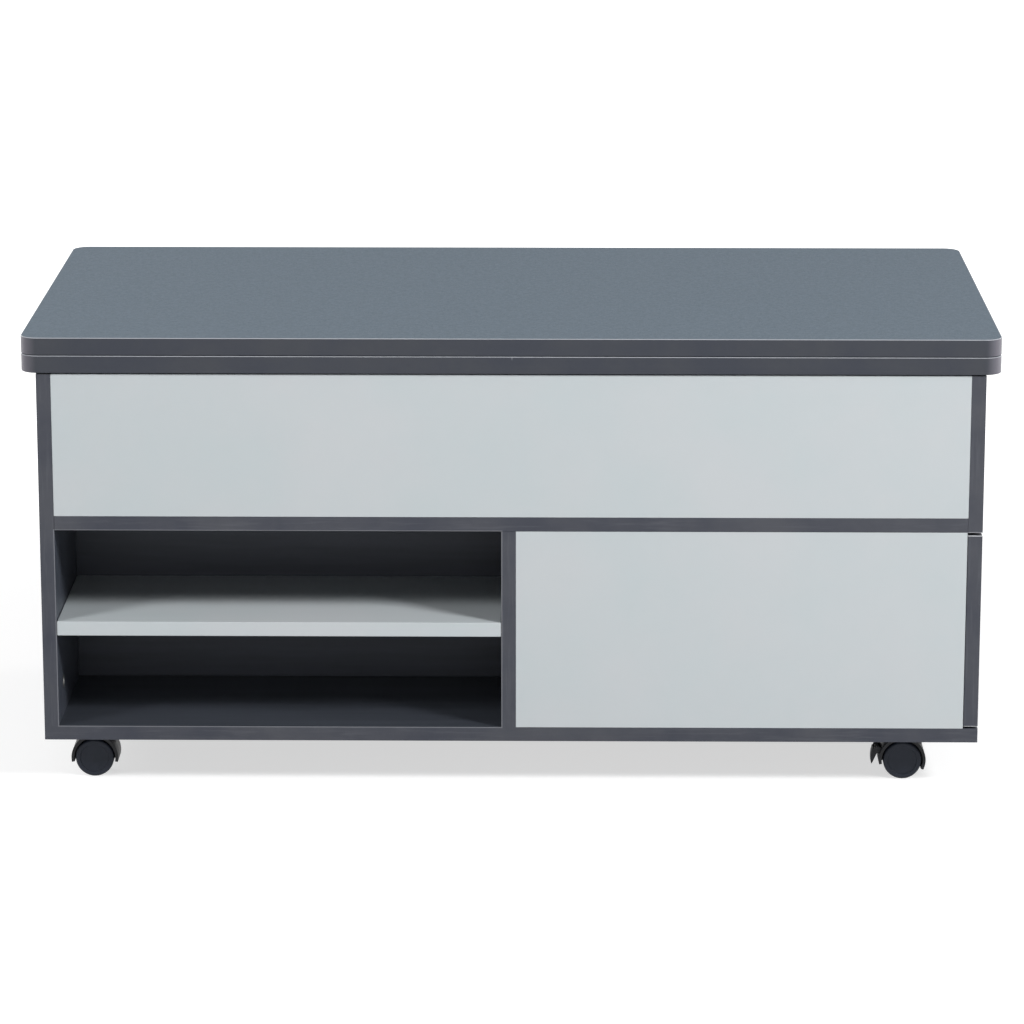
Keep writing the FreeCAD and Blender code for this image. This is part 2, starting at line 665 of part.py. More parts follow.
def top_rail(spaces):
    """Right angle rail: a flange under the leaf and a hanging web for the two top pivots."""
    body = doc.addObject("PartDesign::Body", "right_rail_web")
    sketch = new_sketch(body, "right_rail_outline", "YZ_Plane")
    low_back = "rear_top_z - plate_margin"
    draw_outline(sketch, [("front_top_y - plate_margin", "flange_z"), ("flange_back", "flange_z"),
                          ("flange_back", low_back), ("rear_top_y - plate_margin", low_back),
                          ("front_top_y - plate_margin", "front_top_z - plate_margin")])
    pad(body, "right_rail_pad", sketch, "plate")
    put(body, ("rail_x", "0", "0"))
    flange = box("right_rail_flange", ("flange_width + plate", "flange_length", "plate"),
                 ("rail_x - flange_width", "flange_y", "flange_z"))
    return cut("right_top_rail", fuse("right_rail_blank", [body, flange]), spaces)


def build_top():
    """The double top: lower leaf on the lift rails, upper leaf on the hinges."""
    screws = node(group("top_screws", top_rail_screws()))
    pins = node(group("lift_top_pins", top_pins()))
    rail = node(top_rail([screws, pins]))
    node(mirror("left_top_rail", rail, "x"))
    lower_z = "lower_leaf_top - hinge_plate_thickness"
    lower_plates = []
    upper_plates = []
    hinge_pins = []
    for place, x in HINGE_PLACES.items():
        lower_plates.append(hinge_plate(f"{place}_lower_plate", x, lower_z, OUTER_KNUCKLES))
        upper_plates.append(hinge_plate(f"{place}_upper_plate", x, "upper_leaf_z", INNER_KNUCKLE))
        hinge_pins.append(rod(f"{place}_hinge_pin", "hinge_pin_radius - run_clear", "hinge_length",
                              (f"{x} - hinge_length / 2", "axis_y", "axis_z"), "x"))
    node(group("lower_hinge_plates", lower_plates))
    node(group("upper_hinge_plates", upper_plates))
    node(group("hinge_pins", hinge_pins))
    for name, z, plate_z, extra in (("lower_leaf", "lower_leaf_z", lower_z, [screws]),
                                    ("upper_leaf", "upper_leaf_z", "upper_leaf_z", [])):
        board, band = leaf(name, z, hinge_spaces(name, plate_z) + extra)
        node(board)
        node(band)
    pads = []
    for side, sign in SIGNS.items():
        pads.append(rod(f"{side}_leaf_bumper", "bumper_radius", "leaf_gap",
                        (f"{sign} * (top_length / 2 - leaf_bumper_inset)", "top_front + leaf_bumper_inset",
                         "lower_leaf_top"), "z"))
    node(group("leaf_bumpers", pads))


def build_drawer():
    """The drawer in the right end with its slides."""
    front_z = "floor_top + drawer_gap_bottom"
    front_height = "bay_height - drawer_gap_bottom - drawer_gap_top"
    bottom_width = "2 * (mid_depth - drawer_side_y - drawer_wall + drawer_groove)"
    bottom_length = "drawer_length - drawer_wall + 2 * drawer_groove"
    bottom = node(box("drawer_bottom", (bottom_length, bottom_width, "drawer_bottom_thickness"),
                      ("drawer_back_x + drawer_wall - drawer_groove",
                       "drawer_side_y + drawer_wall - drawer_groove", "drawer_z + drawer_bottom_rise")))
    flat = box("drawer_front_flat", ("board", "cab_depth", front_height), ("inner_x", "cab_front", front_z))
    notch = rod("drawer_front_notch", "notch_radius", "board",
                ("inner_x", "mid_depth", f"{front_z} + {front_height}"), "x")
    node(cut("drawer_front", flat, [notch, bottom]))
    side = box("drawer_side_flat", ("drawer_length", "drawer_wall", "drawer_height"),
               ("drawer_back_x", "drawer_side_y", "drawer_z"))
    grooved = node(cut("drawer_front_side", side, [bottom]))
    node(mirror("drawer_rear_side", grooved, "y", "mid_depth"))
    back = box("drawer_back_flat",
               ("drawer_wall", "2 * (mid_depth - drawer_side_y - drawer_wall)", "drawer_height"),
               ("drawer_back_x", "drawer_side_y + drawer_wall", "drawer_z"))
    node(cut("drawer_back", back, [bottom]))

    middle_y = "face_front + slide_wall + slide_run"
    middle = node(slide_channel("front_middle_rail", "middle_slide_height", middle_y, "slide_channel", True))
    node(mirror("rear_middle_rail", middle, "y", "mid_depth"))
    inner_y = "face_front + 2 * (slide_wall + slide_run)"
    inner = node(slide_channel("front_drawer_rail", "inner_slide_height", inner_y,
                               f"drawer_side_y - ({inner_y})", False))
    node(mirror("rear_drawer_rail", inner, "y", "mid_depth"))


def wheel_pair(name, x, y, axle_z):
    """Two dished wheels with rounded rims on one turning axle."""
    made = []
    for label, way in WHEEL_SIDES.items():
        middle = (x, f"{y} + {way} * wheel_mid", axle_z)
        blank = disc(f"{name}_{label}_blank", "wheel_radius", "wheel_width", middle)
        doc.recompute()
        rounded = doc.addObject("Part::Fillet", f"{name}_{label}_tyre")
        rounded.Base = blank
        round_size = value("wheel_round")
        rims = [i for i, edge in enumerate(blank.Shape.Edges, start=1) if len(edge.Vertexes) == 1]
        rounded.Edges = [(i, round_size, round_size) for i in rims]
        face = (x, f"{y} + {way} * (wheel_mid + wheel_width / 2 - wheel_dish / 2)", axle_z)
        dish = disc(f"{name}_{label}_dish", "wheel_radius - 2 * wheel_round", "wheel_dish", face)
        bore = disc(f"{name}_{label}_bore", "axle_radius", "wheel_width", middle)
        made.append(cut(f"{name}_{label}_wheel", rounded, [dish, bore]))
    axle_length = "2 * (wheel_mid + wheel_width / 2 - wheel_dish)"
    made.append(disc(f"{name}_axle", "axle_radius", axle_length, (x, y, axle_z)))
    return group(f"{name}_wheels", made)


def lever_pivot(axle_x, axle_z):
    """Where a brake lever turns, on the trailing shoulder of its hood."""
    return f"{axle_x} + lever_reach * cos(lever_start)", f"{axle_z} + lever_reach * sin(lever_start)"


def radial_box(name, size, axle, start, angle):
    """A block that runs outward from an axle at a named angle, from a start distance, centred across."""
    across_y, across = size[1:]
    x, y, z = axle
    piece = box(name, size, (f"{x} + {start} * cos({angle}) + ({across}) / 2 * sin({angle})",
                             f"{y} - ({across_y}) / 2",
                             f"{z} + {start} * sin({angle}) - ({across}) / 2 * cos({angle})"))
    piece.Placement.Rotation = Rotation(Vector(0, 1, 0), -value(angle))
    return piece


def lever_lugs(name, y, axle_x, axle_z):
    """Two lugs on the hood, with the moulded pin that the brake lever turns on."""
    pivot_x, pivot_z = lever_pivot(axle_x, axle_z)
    pieces = []
    for label, way in WHEEL_SIDES.items():
        lug_y = f"{y} + {way} * (lever_width / 2 + wheel_gap + lug_width / 2)"
        pieces.append(disc(f"{name}_{label}_lug_eye", "lug_radius", "lug_width", (pivot_x, lug_y, pivot_z)))
        root_size = ("lever_reach - hood_inner", "lug_width", "2 * lug_radius")
        pieces.append(radial_box(f"{name}_{label}_lug_root", root_size, (axle_x, lug_y, axle_z),
                                 "hood_inner", "lever_start"))
    pin_length = "lever_width + 2 * (wheel_gap + lug_width)"
    pieces.append(disc(f"{name}_lever_pin", "lever_pin_radius", pin_length, (pivot_x, y, pivot_z)))
    return pieces


def hood(name, x, y, axle_x, axle_z, braked):
    """Moulded hood: a shell over both wheels, a web between them and a boss for the king pin.

    A braked hood comes further down on its leading side.
    """
    leading_dip = value("brake_hood_dip" if braked else "hood_dip")
    sweep = leading_dip + HALF_TURN + value("hood_dip")
    axle = (axle_x, y, axle_z)
    solid = sector(f"{name}_hood_solid", "hood_radius", "hood_width", axle, -leading_dip, sweep)
    hub = disc(f"{name}_hub", "hub_radius", "hood_web", axle)
    boss_low = f"{axle_z} + wheel_radius / 2"
    boss_height = f"caster_height - caster_plate_thickness - boss_gap - ({boss_low})"
    boss = rod(f"{name}_boss", "boss_radius", boss_height, (x, y, boss_low), "z")
    pieces = [solid, hub, boss]
    if braked:
        pieces += lever_lugs(name, y, axle_x, axle_z)
    spaces = [disc(f"{name}_axle_bore", "axle_radius + run_clear", "hood_width", axle),
              rod(f"{name}_king_bore", "king_pin_radius + run_clear", "king_pin_length + boss_gap",
                  (x, y, "caster_height - caster_plate_thickness - king_pin_length - boss_gap"), "z")]
    for label, way in WHEEL_SIDES.items():
        pocket = (axle_x, f"{y} + {way} * (hood_web / 2 + hood_width / 4)", axle_z)
        spaces.append(disc(f"{name}_{label}_pocket", "hood_inner", "hood_width / 2", pocket))
    return cut(f"{name}_hood", fuse(f"{name}_hood_blank", pieces), spaces)


def brake_lever(name, y, axle_x, axle_z):
    """A claw over the trailing side of the hood: round outside, flat inside, with its eye."""
    pivot_x, pivot_z = lever_pivot(axle_x, axle_z)
    pivot = (pivot_x, y, pivot_z)
    axle = (axle_x, y, axle_z)
    blank = sector(f"{name}_blade", "lever_radius", "lever_width", axle,
                   value("lever_start"), value("lever_sweep"))
    flat_size = ("lever_inner", "lever_width", "2 * lever_radius")
    claw = cut(f"{name}_claw", blank, [radial_box(f"{name}_flat", flat_size, axle, "0", "lever_flat")])
    eye = disc(f"{name}_lever_eye", "lever_eye", "lever_width", pivot)
    bore = disc(f"{name}_lever_bore", "lever_pin_radius + run_clear", "lever_width", pivot)
    return cut(f"{name}_brake_lever", fuse(f"{name}_lever_blank", [claw, eye]), [bore])


def build_casters():
    """Hooded twin-wheel casters, all trailing to the left; the right pair has brakes."""
    for end, side in CORNERS:
        name = f"{end}_{side}"
        x, y = stem_place(end, side)
        axle_x = f"{x} - caster_trail"
        axle_z = "wheel_radius"
        braked = side == "right"
        node(hood(name, x, y, axle_x, axle_z, braked))
        node(wheel_pair(name, axle_x, y, axle_z))
        if braked:
            node(brake_lever(name, y, axle_x, axle_z))


def check_document():
    """Stops on any failed object or bad shape."""
    for piece in doc.Objects:
        if {"Invalid", "Error"} & set(piece.State):
            raise RuntimeError(f"{piece.Label}: {piece.State}")
    for piece in nodes:
        if piece.Shape.isNull() or not piece.Shape.isValid() or not piece.Shape.Solids:
            raise RuntimeError(f"{piece.Label}: bad shape")


def write_parts():
    """One file for each sub-part."""
    os.makedirs("parts", exist_ok=True)
    for piece in nodes:
        piece.Shape.exportStep(f"parts/{piece.Label}.step")


build_cabinet()
build_arms()
build_top()
build_drawer()
build_casters()
doc.recompute()
check_document()
write_parts()
print(len(nodes), "sub-parts,", sum(len(piece.Shape.Solids) for piece in nodes), "solids")
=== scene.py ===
import math

import bmesh
import bpy
from mathutils import Matrix, Vector


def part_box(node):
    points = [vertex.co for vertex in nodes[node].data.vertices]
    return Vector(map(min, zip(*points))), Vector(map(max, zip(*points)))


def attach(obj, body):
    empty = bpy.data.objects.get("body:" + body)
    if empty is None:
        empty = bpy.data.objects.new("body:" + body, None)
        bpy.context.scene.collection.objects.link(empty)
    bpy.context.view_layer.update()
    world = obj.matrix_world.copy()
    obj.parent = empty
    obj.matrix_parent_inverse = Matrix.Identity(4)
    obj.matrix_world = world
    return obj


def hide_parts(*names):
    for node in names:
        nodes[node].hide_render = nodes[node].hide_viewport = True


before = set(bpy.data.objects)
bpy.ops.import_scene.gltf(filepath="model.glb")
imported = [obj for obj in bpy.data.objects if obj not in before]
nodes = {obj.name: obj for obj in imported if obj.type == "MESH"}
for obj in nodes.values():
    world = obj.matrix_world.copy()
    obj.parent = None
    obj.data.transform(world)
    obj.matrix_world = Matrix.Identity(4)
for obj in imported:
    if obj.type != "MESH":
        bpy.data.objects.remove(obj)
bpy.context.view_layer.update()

MM = 0.001

# Camera of the photograph: a long lens, a little right of the middle and looking down
CAMERA_PLACE = Vector((0.0505, -4.5992, 1.3485))
CAMERA_PITCH = math.radians(13.655)
CAMERA_YAW = math.radians(0.648)
CAMERA_LENS = 153.1
SENSOR_WIDTH = 36.0
SIGHT_END = 100

# Soft boxes: place, what they face, width, height, watts
SOFT_BOXES = {
    "left_box": ((-3.4, -2.6, 2.95), (0, -0.2, 0.30), 1.0, 1.0, 86),
    "right_box": ((3.4, -2.6, 3.0), (0, -0.2, 0.30), 1.0, 1.0, 197),
    "front_box": ((0, -4.2, 0.9), (0, -0.2, 0.25), 2.0, 1.2, 6),
    "top_box": ((-1.6, 0.2, 1.9), (-0.2, 0, 0.47), 1.0, 0.8, 4),
    "back_left_box": ((-3.2, 3.0, 1.9), (0, 0.2, 0.30), 1.6, 1.2, 56),
    "back_right_box": ((3.2, 3.0, 1.9), (0, 0.2, 0.30), 1.6, 1.2, 38),
}

# Surroundings: light from all round, and a floor that glows more from the fade's start to its end
AMBIENT = 0.21
FLOOR_SIZE = 60
FLOOR_WHITE = 0.55
FLOOR_GLOW_NEAR = 0.62
FLOOR_GLOW_FAR = 1
FLOOR_FADE_START = 0.75
FLOOR_FADE_END = 1.7
WHITE = (1, 1, 1, 1)


def srgb(red, green, blue):
    """A colour written as it shows, turned to the linear values that shaders take."""
    def linear(level):
        """One part of the colour, by the usual curve."""
        level /= 255
        return level / 12.92 if level <= 0.04045 else ((level + 0.055) / 1.055) ** 2.4
    return (linear(red), linear(green), linear(blue), 1)


# Colours of the finishes
PANEL_GREY = srgb(194, 202, 205)
PANEL_GREY_WARM = srgb(198, 203, 206)
# One dark melamine, given a lighter face colour on the side boards and a darker one on the level boards:
# painted light and shade
ACROSS_DARK = srgb(69, 73, 83)
ACROSS_DARK_DEEP = srgb(60, 64, 73)
SIDE_DARK = srgb(72, 76, 86)
SIDE_DARK_DEEP = srgb(62, 66, 75)
LEVEL_DARK = srgb(64, 68, 76)
LEVEL_DARK_DEEP = srgb(54, 58, 65)
BAND_DARK = srgb(59, 62, 72)
BAND_DARK_PALE = srgb(73, 75, 82)
BAND_DARK_STREAK = srgb(84, 86, 93)
# Painted highlights on the rims of dark board edges, round the bay mouths and along the drawer gaps
RIM_HIGHLIGHT = srgb(150, 152, 158)
RIM_BRIGHT_HIGHLIGHT = srgb(222, 225, 228)
LEAF_BAND = srgb(50, 54, 64)
LEAF_BAND_PALE = srgb(57, 60, 67)
BAND_BENT = srgb(112, 110, 119)
# Painted highlight along the leaf band's upper arris
BAND_ARRIS_HIGHLIGHT = srgb(172, 175, 182)
BAND_BUTTED = srgb(140, 142, 148)
TOP_GREY = srgb(88, 102, 114)
TOP_GREY_DEEP = srgb(76, 89, 100)
CASTER_BLACK = srgb(24, 25, 28)
CASTER_BLACK_WORN = srgb(36, 37, 42)
WHEEL_BLACK = srgb(25, 31, 42)
WHEEL_BLACK_WORN = srgb(32, 37, 49)
LIFT_GREY = srgb(52, 53, 56)
LIFT_GREY_DEEP = srgb(44, 47, 54)
ZINC = srgb(186, 189, 192)
NICKEL = srgb(168, 168, 166)
SCREW_GREY = srgb(118, 118, 120)
SPRING_GREY = srgb(112, 113, 116)
RUBBER_BLACK = srgb(38, 38, 38)

# Share of its tint that a steel keeps in its drawing lines
LINE_SHADE = 0.8

# Stretch of a grain along each axis: a small one draws it out
EVEN = (1, 1, 1)
ALONG_X = (0.06, 1, 1)
ALONG_Z = (1, 1, 0.06)
UP_BAND = (1, 1, 0.2)

# Values of a noise or of cells between which a look goes from one end to the other
GRAIN_LIMITS = (0.3, 0.7)
CLOUD_LIMITS = (0.35, 0.65)
STREAK_LIMITS = (0.52, 0.85)
SPECKLE_LIMITS = (0.36, 0.66)
PEBBLE_LIMITS = (0.1, 0.7)
WORN_LIMITS = (0.4, 0.75)
DUST_LIMITS = (0.45, 0.8)

# How squarely a surface faces along an axis where a look starts and is full, and then fades and ends
FACE_LIMITS = (0.86, 0.94)
END_LIMITS = (0.95, 0.8)
BENT_LIMITS = (0.1, 0.8, 0.93, 1.0)
# The last limits pick out the band's upper arris for its painted highlight
ARRIS_HIGHLIGHT_LIMITS = (0.12, 0.35, 0.97, 0.995)

# Painted highlight rims on the edges of dark boards
HIGHLIGHT_RIM_WIDTH = 1.2 * MM
HIGHLIGHT_RIM_SHARE = 0.5
# Height of the painted highlight along the drawer gaps
GAP_HIGHLIGHT_HEIGHT = 0.9 * MM

# Where the ends of a leaf's band meet, at the middle of the front
SEAM_PLACE = 1.4 * MM
SEAM_WIDTH = 0.7 * MM
SEAM_SEEN = 4 * MM


class Look:
    """The shader tree of a material or a world, with short calls that add to it."""

    def __init__(self, owner):
        owner.use_nodes = True
        self.tree = owner.node_tree

    def feed(self, socket, source):
        """Links a source to a socket, or sets the socket to a constant."""
        if isinstance(source, bpy.types.NodeSocket):
            self.tree.links.new(source, socket)
        else:
            socket.default_value = source

    def add(self, kind, output, inputs, **settings):
        """Adds a node, feeds its inputs and gives back one of its outputs."""
        node = self.tree.nodes.new("ShaderNode" + kind)
        for name, setting in settings.items():
            setattr(node, name, setting)
        for name, source in inputs.items():
            self.feed(node.inputs[name], source)
        return node.outputs[output]

    def math(self, operation, first, second=0.0):
        """The result of one operation on two values."""
        return self.add("Math", "Value", {0: first, 1: second}, operation=operation)

    def spread(self, source, low, high, out_low=0.0, out_high=1.0, **settings):
        """Maps a range of values onto another and clamps it."""
        inputs = {"Value": source, "From Min": low, "From Max": high, "To Min": out_low, "To Max": out_high}
        return self.add("MapRange", "Result", inputs, **settings)

    def seen_ray(self):
        """One where a ray comes from the camera or a glossy or clear surface, and nought elsewhere."""
        path = self.tree.nodes.new("ShaderNodeLightPath")
        direct = self.math("MAXIMUM", path.outputs["Is Camera Ray"], path.outputs["Is Glossy Ray"])
        return self.math("MAXIMUM", direct, path.outputs["Is Transmission Ray"])


class Shader(Look):
    """A material with one glossy surface."""

    def __init__(self, name, roughness, metallic=0.0, specular=0.5):
        self.material = bpy.data.materials.new(name)
        super().__init__(self.material)
        self.even_roughness = roughness
        self.surface = self.tree.nodes["Principled BSDF"].inputs
        self.surface["Roughness"].default_value = roughness
        self.surface["Metallic"].default_value = metallic
        self.surface["Specular IOR Level"].default_value = specular
        self.place = self.add("TexCoord", "Object", {})
        self.normal = self.add("TexCoord", "Normal", {})

    def noise(self, scale, detail=3.0, roughness=0.55, stretch=EVEN):
        """Noise about one half, with this many waves a metre before it is stretched."""
        place = self.add("Mapping", "Vector", {"Vector": self.place, "Scale": stretch})
        inputs = {"Vector": place, "Scale": scale, "Detail": detail, "Roughness": roughness}
        return self.add("TexNoise", "Fac", inputs)

    def cells(self, scale):
        """Distance to the nearest cell centre, as in leather grain, with this many cells a metre."""
        return self.add("TexVoronoi", "Distance", {"Vector": self.place, "Scale": scale})

    def mix(self, share, first, second):
        """A colour between two colours."""
        return self.add("Mix", "Result", {"Factor": share, "A": first, "B": second}, data_type="RGBA")

    def part(self, vector, axis):
        """One part of a vector."""
        return self.add("SeparateXYZ", axis, {"Vector": vector})

    def facing(self, axis):
        """How far the surface faces along one axis, without sign."""
        return self.math("ABSOLUTE", self.part(self.normal, axis))

    def outside(self, axis, low, high):
        """How far a place is outside a stretch of one axis, below nought within it."""
        off_middle = self.math("SUBTRACT", self.part(self.place, axis), (low + high) / 2)
        return self.math("SUBTRACT", self.math("ABSOLUTE", off_middle), (high - low) / 2)

    def rise_and_fall(self, source, start, full, last, end):
        """One between full and last, fading to nought at start and end."""
        return self.math("MULTIPLY", self.spread(source, start, full), self.spread(source, end, last))

    def mottle(self, base, other, scale, stretch=EVEN):
        """A colour with soft clouds of a second one."""
        clouds = self.noise(scale, detail=4, roughness=0.6, stretch=stretch)
        return self.mix(self.spread(clouds, *CLOUD_LIMITS), base, other)

    def colour(self, source):
        """Gives the surface its colour."""
        self.feed(self.surface["Base Color"], source)

    def vary_roughness(self, grain, less, more, limits=GRAIN_LIMITS):
        """Makes the surface smoother and rougher by these amounts, as a grain goes."""
        smooth = self.even_roughness - less
        rough = self.even_roughness + more
        self.feed(self.surface["Roughness"], self.spread(grain, *limits, smooth, rough))

    def bump(self, grain, strength, height):
        """Gives the surface a fine relief, as a grain goes."""
        inputs = {"Height": grain, "Strength": strength, "Distance": height}
        self.feed(self.surface["Normal"], self.add("Bump", "Normal", inputs))


def light_board():
    """Pale grey melamine: faint clouds and a fine closed grain."""
    shader = Shader("light_melamine", roughness=0.45, specular=0.4)
    shader.colour(shader.mottle(PANEL_GREY, PANEL_GREY_WARM, scale=7))
    grain = shader.noise(scale=1900, detail=2)
    shader.vary_roughness(grain, less=0.03, more=0.07)
    shader.bump(grain, strength=0.08, height=0.05 * MM)
    return shader.material


def bay_rim_highlight(shader):
    """Nought but for the board edges right round the mouth of the bays, which get a pale painted highlight.
    """
    aside = shader.outside("X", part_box("left_side_panel")[1].x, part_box("divider_panel")[0].x)
    above = shader.outside("Z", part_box("bottom_board")[1].z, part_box("middle_board")[0].z)
    off_mouth = shader.math("MAXIMUM", aside, above)
    return shader.spread(off_mouth, HIGHLIGHT_RIM_WIDTH, HIGHLIGHT_RIM_WIDTH / 2, 0, HIGHLIGHT_RIM_SHARE)


def gap_rim_highlight(shader):
    """Nought but for the board ends along the gaps over and under the drawer front, which get a painted
    highlight.
    """
    drawer_low, drawer_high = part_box("drawer_front")
    off_upper = shader.outside("Z", drawer_high.z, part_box("right_side_panel")[0].z)
    off_lower = shader.outside("Z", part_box("bottom_board")[1].z, drawer_low.z)
    off_gap = shader.math("MINIMUM", off_upper, off_lower)
    near_gap = shader.spread(off_gap, GAP_HIGHLIGHT_HEIGHT, GAP_HIGHLIGHT_HEIGHT / 2)
    return shader.math("MULTIPLY", near_gap, shader.spread(shader.facing("Z"), *END_LIMITS))


def dark_board(name, flat_axis, grain, face, face_deep, rim=bay_rim_highlight, rim_colour=RIM_HIGHLIGHT):
    """Dark grey board: grained faces across the flat axis, and streaked bands with a painted highlight rim
    on the edges.
    """
    shader = Shader(name, roughness=0.4, specular=0.3)
    face = shader.mottle(face, face_deep, scale=60, stretch=grain)
    band = shader.mottle(BAND_DARK, BAND_DARK_PALE, scale=14)
    streaks = shader.noise(scale=260, roughness=0.6, stretch=grain)
    band = shader.mix(shader.spread(streaks, *STREAK_LIMITS), band, BAND_DARK_STREAK)
    # Paints a pale highlight on the band where the rim mask is
    band = shader.mix(rim(shader), band, rim_colour)
    is_face = shader.spread(shader.facing(flat_axis), *FACE_LIMITS)
    shader.colour(shader.mix(is_face, band, face))
    shader.vary_roughness(shader.noise(scale=1600, detail=2), less=0.06, more=0.06)
    relief = shader.noise(scale=700, roughness=0.6, stretch=grain)
    shader.bump(shader.math("MULTIPLY", relief, is_face), strength=0.25, height=0.08 * MM)
    return shader.material


def top_board():
    """Grey laminate with a fine leathery grain."""
    shader = Shader("top_laminate", roughness=0.6, specular=0.3)
    speckle = shader.noise(scale=200, detail=5, roughness=0.75)
    shader.colour(shader.mix(shader.spread(speckle, *SPECKLE_LIMITS), TOP_GREY_DEEP, TOP_GREY))
    pebbles = shader.cells(scale=620)
    shader.vary_roughness(pebbles, less=0.04, more=0.1, limits=PEBBLE_LIMITS)
    shader.bump(shader.math("ADD", pebbles, speckle), strength=0.35, height=0.12 * MM)
    return shader.material


def band_seam(shader):
    """Nought but for the upper end of the seam where the ends of the lower leaf's band are butted."""
    beside = shader.outside("X", SEAM_PLACE - SEAM_WIDTH / 2, SEAM_PLACE + SEAM_WIDTH / 2)
    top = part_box("lower_leaf_edging")[1].z
    up = shader.part(shader.place, "Z")
    near_top = shader.rise_and_fall(up, top - SEAM_SEEN, top, top, top + SEAM_WIDTH)
    return shader.math("MULTIPLY", shader.spread(beside, SEAM_WIDTH / 2, 0), near_top)


def edge_band():
    """Smooth dark band, paler where it is bent round a corner or butted, with a painted highlight along its
    upper arris.
    """
    shader = Shader("edge_band", roughness=0.36, specular=0.32)
    band = shader.mottle(LEAF_BAND, LEAF_BAND_PALE, scale=16)
    band = shader.mix(shader.rise_and_fall(shader.facing("X"), *BENT_LIMITS), band, BAND_BENT)
    band = shader.mix(band_seam(shader), band, BAND_BUTTED)
    # Painted highlight on the upward-facing arris of the band
    arris_highlight = shader.rise_and_fall(shader.part(shader.normal, "Z"), *ARRIS_HIGHLIGHT_LIMITS)
    shader.colour(shader.mix(arris_highlight, band, BAND_ARRIS_HIGHLIGHT))
    fine = shader.noise(scale=900, detail=2, roughness=0.5, stretch=UP_BAND)
    shader.vary_roughness(fine, less=0.06, more=0.04)
    shader.bump(fine, strength=0.05, height=0.05 * MM)
    return shader.material


def moulded_plastic(name, base, worn, roughness):
    """Black plastic with a fine spark-eroded grain."""
    shader = Shader(name, roughness, specular=0.3)
    shader.colour(shader.mix(shader.spread(shader.noise(scale=90), *WORN_LIMITS), base, worn))
    grain = shader.noise(scale=1400, detail=2)
    shader.vary_roughness(grain, less=0.06, more=0.1)
    shader.bump(grain, strength=0.2, height=0.06 * MM)
    return shader.material


def plated_steel(name, tint, roughness, stretch=EVEN):
    """Plated steel with fine drawing lines."""
    shader = Shader(name, roughness, metallic=1.0)
    lines = shader.noise(scale=1500, detail=2, roughness=0.5, stretch=stretch)
    shade = (*(level * LINE_SHADE for level in tint[:3]), 1)
    shader.colour(shader.mix(shader.spread(lines, *GRAIN_LIMITS), shade, tint))
    shader.vary_roughness(lines, less=0.05, more=0.12)
    shader.bump(lines, strength=0.1, height=0.04 * MM)
    return shader.material


def coated_steel():
    """Dark powder coat with its orange peel."""
    shader = Shader("powder_coat", roughness=0.42)
    shader.colour(shader.mottle(LIFT_GREY, LIFT_GREY_DEEP, scale=30))
    peel = shader.noise(scale=420, detail=2)
    shader.vary_roughness(peel, less=0.06, more=0.08)
    shader.bump(peel, strength=0.3, height=0.12 * MM)
    return shader.material


def soft_rubber():
    """Dull rubber with a dusty bloom."""
    shader = Shader("pad_rubber", roughness=0.75, specular=0.3)
    dust = shader.noise(scale=500)
    shader.colour(shader.mix(shader.spread(dust, *DUST_LIMITS), RUBBER_BLACK, CASTER_BLACK_WORN))
    shader.bump(dust, strength=0.2, height=0.06 * MM)
    return shader.material


FINISHES = {
    "light": light_board(),
    # One dark melamine in lighter and darker copies by which way its boards face: painted light and shade
    "dark_level": dark_board("dark_melamine_level", "Z", ALONG_X, LEVEL_DARK, LEVEL_DARK_DEEP),
    "dark_side": dark_board("dark_melamine_side", "X", ALONG_Z, SIDE_DARK, SIDE_DARK_DEEP),
    # The post and the drawer front get painted highlights along the drawer gaps, the front's brighter
    "dark_post": dark_board("dark_melamine_post", "X", ALONG_Z, SIDE_DARK, SIDE_DARK_DEEP, gap_rim_highlight),
    "dark_end": dark_board("dark_melamine_end", "X", ALONG_Z, SIDE_DARK, SIDE_DARK_DEEP,
                           gap_rim_highlight, RIM_BRIGHT_HIGHLIGHT),
    "dark_across": dark_board("dark_melamine_across", "Y", ALONG_X, ACROSS_DARK, ACROSS_DARK_DEEP),
    "top": top_board(),
    "band": edge_band(),
    "hood": moulded_plastic("caster_plastic", CASTER_BLACK, CASTER_BLACK_WORN, roughness=0.42),
    "wheel": moulded_plastic("wheel_plastic", WHEEL_BLACK, WHEEL_BLACK_WORN, roughness=0.5),
    "zinc": plated_steel("zinc_steel", ZINC, roughness=0.32, stretch=ALONG_X),
    "nickel": plated_steel("nickel_steel", NICKEL, roughness=0.26),
    "screw": plated_steel("screw_steel", SCREW_GREY, roughness=0.3),
    "spring": plated_steel("spring_steel", SPRING_GREY, roughness=0.35),
    "coat": coated_steel(),
    "rubber": soft_rubber(),
}

NODE_FINISH = {
    "light": ["upper_front_panel", "upper_back_panel", "lower_front_panel", "lower_back_panel",
              "front_shelf", "rear_shelf"],
    "dark_level": ["bottom_board", "middle_board", "drawer_bottom"],
    "dark_side": ["left_side_panel", "divider_panel", "drawer_back"],
    "dark_post": ["right_side_panel"],
    "dark_end": ["drawer_front"],
    "dark_across": ["bay_partition", "drawer_front_side", "drawer_rear_side"],
    "top": ["lower_leaf", "upper_leaf"],
    "band": ["lower_leaf_edging", "upper_leaf_edging"],
    "hood": [name for name in nodes if name.endswith(("_hood", "_brake_lever"))],
    "wheel": [name for name in nodes if name.endswith("_wheels")],
    "zinc": [name for name in nodes if name.endswith("_rail") and "top_rail" not in name],
    "nickel": ["shelf_pins", "cam_fittings", "caster_plates", "hinge_pins", "lower_hinge_plates",
               "upper_hinge_plates", "lift_base_pins", "lift_top_pins"],
    "screw": ["cabinet_screws", "top_screws"],
    "spring": ["lift_springs"],
    "coat": ["sync_bar"] + [name for name in nodes if name.endswith(("_arm", "_lift_base", "_top_rail"))],
    "rubber": ["top_bumpers", "leaf_bumpers"],
}


